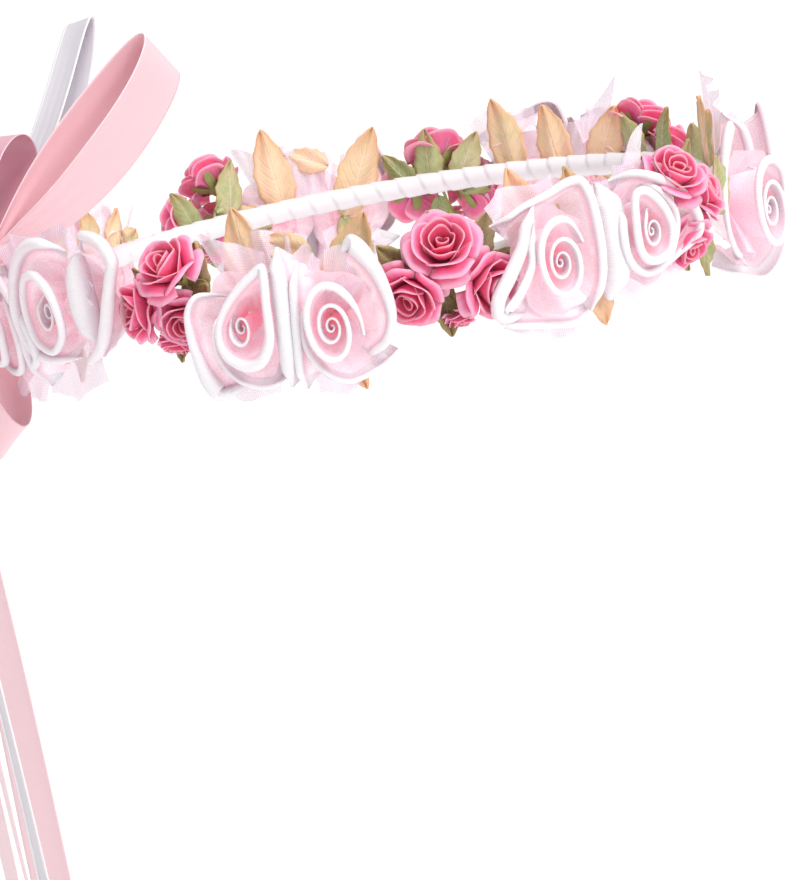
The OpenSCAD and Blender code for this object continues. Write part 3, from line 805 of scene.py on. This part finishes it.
# Leaf colours: root, middle, far, edge and vein
LEAF_TONES = {
    "leaf_paper": [(0.95, 0.62, 0.42), (0.80, 0.60, 0.36), (0.44, 0.44, 0.20),
                   (0.78, 0.32, 0.13), (0.96, 0.82, 0.64)],
    "sprig_paper": [(0.62, 0.56, 0.34), (0.42, 0.44, 0.20), (0.26, 0.30, 0.12),
                    (0.50, 0.28, 0.10), (0.80, 0.74, 0.50)],
}


def rgb(c):
    return tuple(c)[:3]


def rose_ribbon(p):
    """Sheer ribbon with a white satin edge: satin where v < 4.2 mm, with ribs across it."""
    m = Paint("rose_ribbon", Roughness=0.40, Sheen_Weight=0.2, Sheen_Roughness=0.4,
              Subsurface_Weight=0.35, Subsurface_Scale=0.004)
    m.bsdf.inputs["Subsurface Radius"].default_value = (1.0, 0.55, 0.6)
    u, v = m.uv()
    edge = m.step(v, 4.6, 4.1)
    blush = m.attribute("blush")
    soft = m.noise(90)
    # Painted shade: the sheer part runs from pale to deep pink where the rose is deep and near its
    # heart, with tone that differs at random.
    sheer = m.mix(m.math("ADD", blush, m.math("MULTIPLY", m.math("SUBTRACT", soft, 0.5), 0.3)),
                  rgb(p.sheer), rgb(p.blush))
    ribs = m.wave(u, 1.7)
    satin = m.mix(m.math("MULTIPLY", ribs, 0.3), rgb(p.satin_edge), (0.74, 0.69, 0.73))
    # Painted highlight and shade: the satin turns lilac-pink on the sides of the rolled edge and
    # near the hearts, and stays white along the crest.
    satin = m.mix(m.math("MULTIPLY", blush, 0.9), satin, (0.70, 0.50, 0.60))
    # Painted shadow: a pink line where the rolled edge turns under onto the wall.
    under_lip_shade = m.math("MULTIPLY", m.step(v, 3.6, 4.1), m.step(v, 4.7, 4.3))
    satin = m.mix(m.math("MULTIPLY", under_lip_shade, 0.45), satin, (0.80, 0.56, 0.64))
    m.colour(m.mix(edge, sheer, satin))
    # Painted light: the sheer part glows faintly, in deeper pink towards the hearts; the satin edge
    # does not glow.
    glow = m.mix(edge, m.mix(blush, rgb(p.sheer), (0.95, 0.30, 0.42)), (0.0, 0.0, 0.0))
    m.link(glow, m.bsdf.inputs["Emission Color"])
    m.bsdf.inputs["Emission Strength"].default_value = 0.18
    fine = m.step(m.noise(2400, 1.0), 0.45, 0.62)
    m.alpha(m.blend(edge, m.math("ADD", 0.80, m.math("MULTIPLY", fine, 0.12)), 1.0))
    weave = m.math("MULTIPLY", m.wave(u, 2.6), m.wave(v, 2.6))
    m.bump(m.blend(edge, m.math("MULTIPLY", weave, 0.5), ribs), 0.00014, 0.45)
    return m.mat


def organza(p):
    """Sheer shimmering cloth: an open weave that lets light through, with tiny white flecks that are
    painted glints and are less see-through.
    """
    m = Paint("organza", Roughness=0.34, Sheen_Weight=0.4, Sheen_Roughness=0.25,
              Subsurface_Weight=0.4, Subsurface_Scale=0.004)
    m.bsdf.inputs["Specular IOR Level"].default_value = 0.8
    u, v = m.uv()
    # Painted glints: tiny white flecks at random, which are also less see-through.
    sparkle = m.step(m.noise(2600, 1.0), 0.60, 0.72)
    tone = m.mix(m.noise(60), (0.96, 0.74, 0.85), (0.93, 0.82, 0.93))
    tone = m.mix(m.math("MULTIPLY", m.attribute("blush"), 0.7), tone, rgb(p.sheer))
    m.colour(m.mix(sparkle, tone, (1.0, 0.95, 0.98)))
    weave = m.math("MAXIMUM", m.wave(u, 1.9), m.wave(v, 1.9))
    m.alpha(m.math("ADD", 0.46, m.math("MULTIPLY", m.math("MAXIMUM", weave, sparkle), 0.3)))
    # Painted light: the organza glows faintly in its own tone.
    m.link(tone, m.bsdf.inputs["Emission Color"])
    m.bsdf.inputs["Emission Strength"].default_value = 0.12
    m.bump(weave, 0.0001, 0.5)
    return m.mat


def satin(p, name):
    """Satin or sheer ribbon: fine ribs along it, a woven edge each side with a row of
    stitches, and a deeper colour near the knot and the tops of the tails: painted shade."""
    base, deep, edge, sheer, wide, stitched = RIBBONS[name]
    base = rgb(getattr(p, base)) if isinstance(base, str) else base
    m = Paint(name, Roughness=0.36, Sheen_Weight=0.25, Sheen_Roughness=0.35)
    u, v = m.uv()
    rim = m.math("MINIMUM", v, m.math("SUBTRACT", wide, v))
    on = m.step(rim, stitched * 1.9 + 0.35, stitched * 1.5)
    row = m.step(m.math("ABSOLUTE", m.math("SUBTRACT", rim, 1.3)), 0.35, 0.2)
    stitch = m.math("MULTIPLY", m.math("MULTIPLY", row, stitched),
                    m.step(m.wave(u, 0.7), 0.45, 0.6))
    # Painted shade: the ribbon runs to its deep colour near the knot and at the tops of the tails,
    # with tone that differs at random.
    tone = m.math("ADD", m.attribute("blush"), m.math("MULTIPLY", m.noise(30), 0.3))
    body = m.mix(tone, base, deep)
    c = m.mix(m.math("MULTIPLY", on, 0.8), body, edge)
    m.colour(m.mix(m.math("MULTIPLY", stitch, 0.45), c, deep))
    if sheer:
        m.alpha(m.blend(on, 1.0 - sheer, 1.0))
    thread = m.math("ADD", m.math("MULTIPLY", m.wave(v, 2.2), 0.5),
                    m.math("MULTIPLY", m.wave(u, 2.2), 0.3))
    m.bump(m.math("ADD", thread, stitch), 0.00012, 0.5)
    return m.mat


def wrap_satin():
    """White satin of the winding, with fine ribs along it."""
    m = Paint("wrap_satin", Roughness=0.38, Sheen_Weight=0.3)
    u, v = m.uv()
    ribs = m.wave(m.math("ADD", v, m.math("MULTIPLY", u, 0.1)), 30)
    m.colour(m.mix(m.noise(70), (0.86, 0.83, 0.85), (0.80, 0.74, 0.78)))
    m.bump(ribs, 0.0001, 0.4)
    return m.mat


def leaf_paper(name):
    """Painted paper leaf: a midrib and slanting veins, its colour running from root to tip."""
    tones = LEAF_TONES[name]
    m = Paint(name, Roughness=0.62, Sheen_Weight=0.12)
    u, v = m.uv()
    av = m.math("ABSOLUTE", v)
    rib = m.step(av, 0.10, 0.03)
    veins = m.wave(m.math("SUBTRACT", u, m.math("MULTIPLY", av, 0.22)), 8.0)
    vein = m.math("MULTIPLY", m.step(veins, 0.86, 0.97), m.step(av, 1.0, 0.5))
    blot = m.math("MULTIPLY", m.noise(160, 4.0), 0.9)
    mixv = m.math("ADD", m.math("MULTIPLY", m.attribute("blush"), 0.75),
                  m.math("SUBTRACT", blot, 0.35))
    near = m.mix(m.step(mixv, 0.1, 0.55), tones[0], tones[1])
    c = m.mix(m.step(mixv, 0.45, 0.9), near, tones[2])
    c = m.mix(m.math("MULTIPLY", m.step(u, 0.55, 1.0), 0.45), c, tones[3])
    c = m.mix(m.math("MULTIPLY", m.step(av, 0.7, 1.0), 0.35), c, tones[3])
    c = m.mix(m.math("MULTIPLY", m.math("MAXIMUM", rib, vein), 0.3), c, tones[4])
    m.colour(c)
    m.bump(m.math("SUBTRACT", m.noise(500), m.math("MAXIMUM", rib, vein)), 0.0004, 0.6)
    return m.mat


def rose_paper(p):
    """Mulberry paper: hot pink petals that pale towards their edges, with fine creases."""
    m = Paint("rose_paper", Roughness=0.66, Sheen_Weight=0.08)
    m.bsdf.inputs["Subsurface Weight"].default_value = 0.3
    m.bsdf.inputs["Subsurface Scale"].default_value = 0.002
    u, v = m.uv()
    fade = m.math("ADD", m.math("MULTIPLY", v, 0.45),
                  m.math("MULTIPLY", m.math("SUBTRACT", m.noise(220), 0.5), 0.7), True)
    c = m.mix(fade, rgb(p.bud_pink), rgb(p.bud_edge))
    # Painted shade: the inner rings of petals are darkened towards deep red.
    c = m.mix(m.math("MULTIPLY", m.attribute("blush"), 0.7), c, (0.72, 0.03, 0.10))
    rim = m.math("MAXIMUM", m.step(v, 0.88, 0.98), m.step(m.math("ABSOLUTE", u), 0.86, 0.98))
    c = m.mix(m.math("MULTIPLY", rim, 0.5), c, (0.95, 0.60, 0.71))
    m.colour(c)
    m.bump(m.math("ADD", m.noise(700), m.wave(u, 3.0)), 0.00015, 0.5)
    return m.mat


def cup_green():
    """Green paper of cups and stems, with brown patches."""
    m = Paint("cup_green", Roughness=0.6)
    c = m.mix(m.noise(400), (0.20, 0.24, 0.07), (0.42, 0.42, 0.14))
    m.colour(m.mix(m.step(m.noise(180), 0.55, 0.7), c, (0.34, 0.22, 0.10)))
    m.bump(m.noise(900), 0.0002, 0.5)
    return m.mat


def wire_metal():
    """Bare steel of the two wires."""
    m = Paint("wire_metal", Roughness=0.35, Metallic=1.0)
    m.colour(m.mix(m.noise(300), (0.55, 0.56, 0.58), (0.72, 0.73, 0.75)))
    m.bump(m.noise(1500), 0.00005, 0.3)
    return m.mat


TINTED = {"rose_ribbon": rose_ribbon, "organza": organza, "rose_paper": rose_paper}
PLAIN = {"wrap_satin": wrap_satin, "cup_green": cup_green, "wire_metal": wire_metal}
MADE = {}


def material(name, p):
    """Makes each material once. Ribbons and the tinted ones read colours from the settings."""
    if name not in MADE:
        if name in RIBBONS:
            MADE[name] = satin(p, name)
        elif name in LEAF_TONES:
            MADE[name] = leaf_paper(name)
        elif name in TINTED:
            MADE[name] = TINTED[name](p)
        else:
            MADE[name] = PLAIN[name]()
    return MADE[name]


# ---- settings --------------------------------------------------------------------------
def colour_prop(name, description, default):
    return FloatVectorProperty(name=name, description=description, default=default, subtype="COLOR",
                               size=3, min=0.0, max=1.0)


class CrownSettings(bpy.types.PropertyGroup):
    sheer: colour_prop("Sheer ribbon", "Pale part of the rose ribbon", (0.94, 0.79, 0.84))
    # Deep pink that the painted shade inside the roses runs to.
    blush: colour_prop("Deep pink", "Inside of the roses", (0.93, 0.33, 0.46))
    satin_edge: colour_prop("Satin edge", "Rolled edge of the rose ribbon", (0.88, 0.86, 0.88))
    bow_pink: colour_prop("Bow pink", "Satin of the bow and tails", (0.98, 0.70, 0.735))
    white_ribbon: colour_prop("White ribbon", "Sheer white loops and tails", (0.80, 0.785, 0.83))
    bud_pink: colour_prop("Bud pink", "Paper rose petals", (0.96, 0.13, 0.34))
    bud_edge: colour_prop("Bud edge", "Edges of the paper petals", (0.98, 0.38, 0.56))
    wrap_radius: FloatProperty(name="Wrap radius", description="Radius of the wound ring in metres",
                               default=0.0035, min=0.002, max=0.006, unit="LENGTH")
    wrap_turn: FloatProperty(name="Winding pitch", description="Distance between ribbon windings",
                             default=0.0075, min=0.004, max=0.02, unit="LENGTH")
    rib_sides: IntProperty(name="Wrap sides", description="Points round the wound ring",
                           default=20, min=12, max=40)


class CrownOp:
    """Shared by the operators: runs make() with the scene's settings."""
    bl_options = {"REGISTER"}

    def execute(self, context):
        self.make(context.scene.flower_crown)
        return {"FINISHED"}


class CROWN_OT_ring(CrownOp, bpy.types.Operator):
    """Ring wound with white ribbon, and the metal of the wires"""
    bl_idname = "flower_crown.ring"
    bl_label = "Ring"

    def make(self, p):
        nv = p.rib_sides
        total = 4 * (END_LEN + SIDE_LEN)
        s = np.linspace(-total / 2, total / 2, 900, endpoint=False)
        a = ring_angle(s)
        c = np.concatenate([ring_point(a), np.zeros((len(s), 1))], 1)
        n = np.stack([-np.sin(a), -np.cos(a), 0 * a], 1)
        v = np.linspace(0, 2 * math.pi, nv, endpoint=False)
        turns = round(total / (p.wrap_turn * 1000))
        ph = (s[:, None] / total * turns - v[None, :] / (2 * math.pi)) % 1
        r = p.wrap_radius * 1000 * (0.86 + 0.16 * (1 - ph) ** 0.6 * ease((1 - ph) * 14 + 0.2))
        q = c[:, None] + r[..., None] * (np.cos(v)[None, :, None] * n[:, None]
                                         + np.sin(v)[None, :, None] * np.array([0, 0, 1.0]))
        uv = np.stack(np.meshgrid(np.arange(901) * total / 900, np.linspace(0, 1, nv + 1),
                                  indexing="ij"), -1)
        build("ring_wrapping", [part(q, uv, 0.1, wrap_u=True, wrap_v=True)],
              material("wrap_satin", p), "ring_wrap")
        for node in ("ring_wire", "bow_wire"):
            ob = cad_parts[node]
            ob.data.materials.clear()
            ob.data.materials.append(material("wire_metal", p))


class CROWN_OT_roses(CrownOp, bpy.types.Operator):
    """Fourteen ribbon roses in seven pairs, with the folds between them"""
    bl_idname = "flower_crown.roses"
    bl_label = "Ribbon roses"

    def make(self, p):
        for i, (left, right, folds, mirror, turn, lift, hands) in PAIRS.items():
            for k, letter in enumerate("ab"):
                kind = (left, right)[k if mirror > 0 else 1 - k]
                side = 1 if letter == "a" else -1
                d = pair_at(i) + side * ROSE_GAP / 2
                own, lip, size = (-1, FRONT_LIP, FRONT_SIZE) if i == FRONT else (1, 1.0, 1.0)
                grids = rose_parts(kind, mirror * own, hands[k], lip)
                for g in grids:
                    g["p"] = turned(g["p"], turn[k], lift[k], size)
                placed(grids, d)
                if letter == "b":
                    grids += placed([rolled(flip_rows(rows, mirror), 60,
                                            (axis[0] * mirror, axis[1]), squeeze=0.3, seat=0.0)
                                     for axis, rows in FOLDS[folds]], pair_at(i))
                build(f"ribbon_rose_{i}{letter}", grids, material("rose_ribbon", p),
                      f"rose_{i}{letter}")


class CROWN_OT_frills(CrownOp, bpy.types.Operator):
    """Organza petals behind each pair of roses"""
    bl_idname = "flower_crown.frills"
    bl_label = "Organza frills"

    def make(self, p):
        for i, row in PAIRS.items():
            grids = [petal(pet, k + i, row[3]) for k, pet in enumerate(PETALS[row[2]])]
            build(f"organza_frill_{i}", placed(grids, pair_at(i)), material("organza", p),
                  f"frill_{i}")


class CROWN_OT_leaves(CrownOp, bpy.types.Operator):
    """Veined paper leaves behind the roses and round the buds"""
    bl_idname = "flower_crown.leaves"
    bl_label = "Leaves"

    def make(self, p):
        for i, row in PAIRS.items():
            grids = leaf_grids(LEAVES[row[2]], row[3], 2.2, LEAF_SHARE.get(i, 1.0), 0.17 * i)
            build(f"rose_leaves_{i}", placed(grids, pair_at(i)), material("leaf_paper", p),
                  f"leaves_{i}", thick=LEAF_THICK)
        for j in range(1, SPRAY_COUNT + 1):
            key, mirror = spray_design(j)
            grids = leaf_grids(SPRIGS[key], mirror, 3.0)
            build(f"bud_leaves_{j}", placed(grids, spray_at(j)), material("sprig_paper", p),
                  f"sprig_{j}", thick=LEAF_THICK)


class CROWN_OT_buds(CrownOp, bpy.types.Operator):
    """Paper roses in sprays between the pairs, with their cups and stems"""
    bl_idname = "flower_crown.buds"
    bl_label = "Paper roses"

    def make(self, p):
        for j in range(1, SPRAY_COUNT + 1):
            key, m = spray_design(j)
            petals, cups = [], []
            for n, row in enumerate(BUDS[key]):
                petals += bud_parts(row, m, n + j * 1.3)
                a = math.radians(40 if row[1] > 0 else -40)
                foot = np.array([row[0] * m * 0.6, 3.6 * math.sin(a), 3.6 * math.cos(a)])
                cups += calyx_parts(row, m, n + j, foot)
            build(f"paper_roses_{j}", placed(petals, spray_at(j)), material("rose_paper", p),
                  f"buds_{j}", thick=PETAL_THICK)
            build(f"bud_stems_{j}", placed(cups, spray_at(j)), material("cup_green", p),
                  f"stems_{j}", weld=True)


class CROWN_OT_bow(CrownOp, bpy.types.Operator):
    """Bow of three ribbons, its knot and the gathered tops of the tails"""
    bl_idname = "flower_crown.bow"
    bl_label = "Bow"

    def make(self, p):
        # Material, slot, then loops: tip, fatness, width, roll in degrees, swell and arch
        ribbons = {
            1: ("bow_pink", "pink_satin", [((24, 53, 62), 7.5, 22, -56, 1.2, -3),
                                           ((-34, 113, -36), 7, 17.6, 62, 1.0, 2)]),
            2: ("white_bow", "white_ribbon", [((74, 81, 72), 4.5, 12, -10, 0.6, -10),
                                              ((-60, 138, 74), 10, 12, 40, 0.8, 6)]),
            # Third ribbon: the same pink satin as the first, in a darker copy that is painted shade.
            3: ("bow_rose", "pink_satin", [((26, 106, 45), 9, 22, 0, 1.2, 1),
                                           ((-84, 140, 14), 13, 22, 80, 1.2, 5)]),
        }
        for n, (mat, slot, loops) in ribbons.items():
            grids, length = [], 0
            for k, (tip, fat, wide, roll, swell, arch) in enumerate(loops):
                g, ln = bow_loop(tip, fat, wide, roll, n * 2 + k, swell, arch)
                grids.append(g)
                length += ln
            ob = build(f"bow_loops_{n}", grids, material(mat, p), f"bow_ribbon_{n}",
                       thick=RIBBON_THICK)
            flat_area(ob)
        build("bow_knot_folds", knot_parts(), material("bow_pink", p), "bow_knot",
              weld=True)
        tops = []
        for x1, y0, *_ in TAILS:
            path = smooth_path([(x1 * 0.14, 131, 0), (x1 * 0.16, 133.9, -3.6),
                                (x1 * 0.19, (134 + y0) / 2, -9), (x1 * 0.22, y0, -15),
                                (x1 * 0.22, y0, -17.5)], 20)
            # Painted shade: the gathered tops of the tails are painted deeper.
            tops.append(tube(path, np.linspace(2.2, 1.7, 20), 12, 0.4))
        build("tail_gathers", tops, material("bow_pink", p), "tail_tops",
              weld=True)


class CROWN_OT_tails(CrownOp, bpy.types.Operator):
    """Five ribbon tails, each attached to a body of its own"""
    bl_idname = "flower_crown.tails"
    bl_label = "Tails"

    def make(self, p):
        for n, row in enumerate(TAILS):
            white, tail = n in (0, len(TAILS) - 1), f"tail_{n + 1}"
            ob = build(f"ribbon_{tail}", [tail_part(row)],
                       material("white_tail" if white else "tail_pink", p),
                       tail, body=tail,
                       thick=RIBBON_THICK)


class CROWN_OT_stage(CrownOp, bpy.types.Operator):
    """Pale floor, soft lights and the camera"""
    bl_idname = "flower_crown.stage"
    bl_label = "Stage"

    def make(self, p):
        scene = bpy.context.scene
        me = bpy.data.meshes.new("floor")
        c = [(FLOOR_HALF * a, FLOOR_HALF * b, FLOOR_Z)
             for a, b in ((-1, -1), (1, -1), (1, 1), (-1, 1))]
        me.from_pydata(c, [], [(0, 1, 2, 3)])
        floor = bpy.data.objects.new("floor", me)
        scene.collection.objects.link(floor)
        m = Paint("floor_white", Roughness=0.9)
        m.colour(m.mix(m.noise(3), (0.96, 0.96, 0.96), (0.98, 0.98, 0.98)))
        me.materials.append(m.mat)
        world = bpy.data.worlds.new("soft_white")
        world.use_nodes = True
        back = world.node_tree.nodes["Background"]
        back.inputs[0].default_value = (1.0, 1.0, 1.0, 1)
        ray = world.node_tree.nodes.new("ShaderNodeLightPath")
        level = world.node_tree.nodes.new("ShaderNodeMapRange")
        level.inputs["To Min"].default_value, level.inputs["To Max"].default_value = 0.52, 0.97
        world.node_tree.links.new(ray.outputs["Is Camera Ray"], level.inputs["Value"])
        world.node_tree.links.new(level.outputs[0], back.inputs[1])
        scene.world = world
        sun = bpy.data.lights.new("overhead", "SUN")
        sun.energy, sun.angle = 2.1, math.radians(30)
        ob = bpy.data.objects.new("overhead", sun)
        ob.matrix_world = Vector((0.25, 0.3, -1)).to_track_quat("-Z", "Y").to_matrix().to_4x4()
        scene.collection.objects.link(ob)
        for name, loc, size, power in (("key", (-1.2, -1.3, 0.9), 0.6, 13.0),
                                       ("fill", (-1.6, 1.2, 0.2), 1.2, 2.0)):
            la = bpy.data.lights.new(name, "AREA")
            la.size, la.energy = size, power
            ob = bpy.data.objects.new(name, la)
            ob.matrix_world = Matrix.Translation(loc) @ \
                (Vector((0, 0, -0.02)) - Vector(loc)).to_track_quat("-Z", "Y").to_matrix().to_4x4()
            scene.collection.objects.link(ob)
        az, el, roll = (math.radians(v) for v in (CAM_TURN, CAM_HEIGHT, CAM_ROLL))
        loc = CAM_DISTANCE * np.array([math.sin(az) * math.cos(el),
                                       -math.cos(az) * math.cos(el), math.sin(el)])
        fwd = unit(np.array(CAM_AIM) - loc)
        right = unit(np.cross(fwd, [0, 0, 1.0]))
        up = np.cross(right, fwd)
        rx = math.cos(roll) * right + math.sin(roll) * up
        ry = -math.sin(roll) * right + math.cos(roll) * up
        cam = bpy.data.cameras.new("camera")
        cam.lens, cam.sensor_width, cam.clip_start = CAM_LENS, CAM_SENSOR, 0.02
        ob = bpy.data.objects.new("camera", cam)
        rows = [[rx[k], ry[k], -fwd[k], loc[k]] for k in range(3)]
        ob.matrix_world = Matrix(rows + [[0, 0, 0, 1]])
        scene.collection.objects.link(ob)
        scene.camera = ob
        scene.view_settings.view_transform = "Standard"


class CROWN_PT_panel(bpy.types.Panel):
    """Lists the crown's settings and pieces"""
    bl_idname = "CROWN_PT_panel"
    bl_label = "Flower crown"
    bl_space_type = "VIEW_3D"
    bl_region_type = "UI"
    bl_category = "Crown"

    def draw(self, context):
        p = context.scene.flower_crown
        for name in CrownSettings.__annotations__:
            self.layout.prop(p, name)
        for op in STEPS:
            self.layout.operator(op.bl_idname)


STEPS = (CROWN_OT_ring, CROWN_OT_frills, CROWN_OT_leaves, CROWN_OT_roses, CROWN_OT_buds,
         CROWN_OT_bow, CROWN_OT_tails, CROWN_OT_stage)
CLASSES = (CrownSettings, *STEPS, CROWN_PT_panel)


def register():
    for cls in CLASSES:
        bpy.utils.register_class(cls)
    bpy.types.Scene.flower_crown = PointerProperty(type=CrownSettings)


def unregister():
    del bpy.types.Scene.flower_crown
    for cls in reversed(CLASSES):
        bpy.utils.unregister_class(cls)


def main():
    register()
    for op in STEPS:
        group, name = op.bl_idname.split(".")
        getattr(getattr(bpy.ops, group), name)()
    bpy.context.view_layer.update()


if __name__ == "__main__":
    main()
